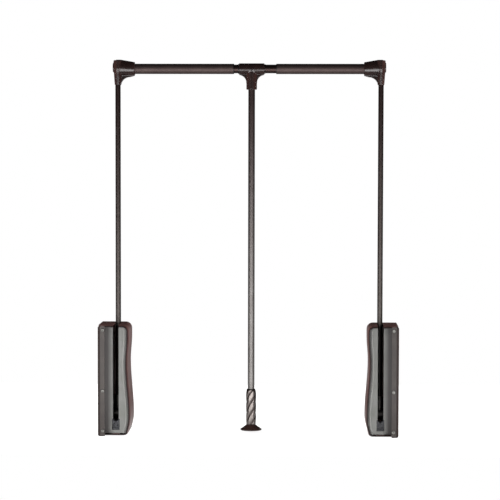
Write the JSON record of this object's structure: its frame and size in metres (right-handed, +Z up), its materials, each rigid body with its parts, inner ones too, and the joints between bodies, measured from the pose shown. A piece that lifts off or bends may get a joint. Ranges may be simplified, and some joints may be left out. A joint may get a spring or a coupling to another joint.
{
  "type": "swing-down clothes rail",
  "caption": "Telescopic clothes rail on two sprung side arms, with a hanging pull rod that tips the frame forward from the wardrobe's side walls.",
  "frame": {"origin": "mid width between the wall faces, mid depth of the casings, level with their lower ends", "axes": "+Z up along the arms, +X to the right along the rail, -Y forward to the user"},
  "size_m": [0.672, 0.1044, 0.8426],
  "materials": {
    "bracket_paint": "satin warm grey-brown paint on bent steel",
    "casing_brown": "semi-gloss dark brown moulding",
    "fascia_grey": "satin grey",
    "bright_steel": "zinc-plated",
    "rubber": "matt dark grey",
    "spring_steel": "oiled spring wire",
    "zinc_casting": "die-cast, as cast",
    "bronze_bush": "sintered",
    "tube_bronze": "satin dark bronze coating",
    "dark_plastic": "glossy dark brown",
    "bush_plastic": "dark brown, self-lubricating",
    "grip_bronze": "glossy dark bronze coating"
  },
  "bodies": {
    "left_casing": {"left_base_bracket": "bracket_paint", "left_shell": "casing_brown", "left_fascia": "fascia_grey", "left_fascia_screws": "bright_steel", "left_rear_screws": "bright_steel", "left_arm_stop": "rubber", "left_pivot_axle": "bright_steel", "left_axle_clips": "spring_steel", "left_spring_guide": "zinc_casting", "left_guide_screws": "bright_steel", "left_spring": "spring_steel"},
    "left_plunger_body": {"left_plunger": "bright_steel"},
    "left_roller_body": {"left_crank_roller": "bronze_bush"},
    "left_arm": {"left_arm_carrier": "zinc_casting", "left_carrier_bushes": "bronze_bush", "left_roller_pin": "bright_steel", "left_arm_pin": "bright_steel", "left_arm_tube": "tube_bronze", "left_elbow": "dark_plastic", "left_elbow_screws": "bright_steel", "left_outer_tube": "tube_bronze", "left_guide_bush": "bush_plastic"},
    "right_casing": {"right_base_bracket": "bracket_paint", "right_shell": "casing_brown", "right_fascia": "fascia_grey", "right_fascia_screws": "bright_steel", "right_rear_screws": "bright_steel", "right_arm_stop": "rubber", "right_pivot_axle": "bright_steel", "right_axle_clips": "spring_steel", "right_spring_guide": "zinc_casting", "right_guide_screws": "bright_steel", "right_spring": "spring_steel"},
    "right_plunger_body": {"right_plunger": "bright_steel"},
    "right_roller_body": {"right_crank_roller": "bronze_bush"},
    "right_arm": {"right_arm_carrier": "zinc_casting", "right_carrier_bushes": "bronze_bush", "right_roller_pin": "bright_steel", "right_arm_pin": "bright_steel", "right_arm_tube": "tube_bronze", "right_elbow": "dark_plastic", "right_elbow_screws": "bright_steel", "right_outer_tube": "tube_bronze", "right_guide_bush": "bush_plastic"},
    "rail_middle": {"inner_tube": "tube_bronze", "tube_glides": "bush_plastic", "tee_rings": "bush_plastic"},
    "pull_handle": {"tee": "dark_plastic", "rod_screw": "bright_steel", "pull_rod": "tube_bronze", "grip": "grip_bronze", "rod_foot": "dark_plastic", "foot_screw": "bright_steel"}
  },
  "joints": [
    {"name": "frame_swing", "type": "hinge", "parent": "left_casing", "child": "left_arm", "pos_m": [-0.2955, 0.015, 0.045], "axis": [1, 0, 0], "range_deg": [0, 95], "stiffness_Nm_per_rad": 20, "springref_deg": -20.05},
    {"name": "left_plunger_slide", "type": "slide", "parent": "left_casing", "child": "left_plunger_body", "axis": [0, 0, 1], "range_m": [0, 0.031], "deforming": ["left_spring"]},
    {"name": "left_roller_spin", "type": "hinge", "parent": "left_arm", "child": "left_roller_body", "pos_m": [-0.3195, 0.02851, 0.03025], "axis": [1, 0, 0], "continuous": true},
    {"name": "left_rail_slide", "type": "slide", "parent": "left_arm", "child": "rail_middle", "axis": [1, 0, 0], "range_m": [-0.0085, 0.165]},
    {"name": "pull_rod_swing", "type": "hinge", "parent": "rail_middle", "child": "pull_handle", "pos_m": [0.0054, 0.015, 0.822], "axis": [1, 0, 0], "continuous": true},
    {"name": "right_rail_slide", "type": "slide", "parent": "rail_middle", "child": "right_arm", "axis": [1, 0, 0], "range_m": [-0.024, 0.149]},
    {"name": "right_roller_spin", "type": "hinge", "parent": "right_arm", "child": "right_roller_body", "pos_m": [0.3195, 0.02851, 0.03025], "axis": [1, 0, 0], "continuous": true},
    {"name": "right_casing_swing", "type": "hinge", "parent": "right_arm", "child": "right_casing", "pos_m": [0.2955, 0.015, 0.045], "axis": [1, 0, 0], "range_deg": [-95, 0]},
    {"name": "right_plunger_slide", "type": "slide", "parent": "right_casing", "child": "right_plunger_body", "axis": [0, 0, 1], "range_m": [0, 0.031], "deforming": ["right_spring"]}
  ],
  "couplings": [
    {"joint": "left_plunger_slide", "follows": "frame_swing", "m_per_rad": 0.018409},
    {"joint": "right_casing_swing", "follows": "frame_swing", "ratio": -1},
    {"joint": "right_plunger_slide", "follows": "frame_swing", "m_per_rad": 0.018409}
  ]
}
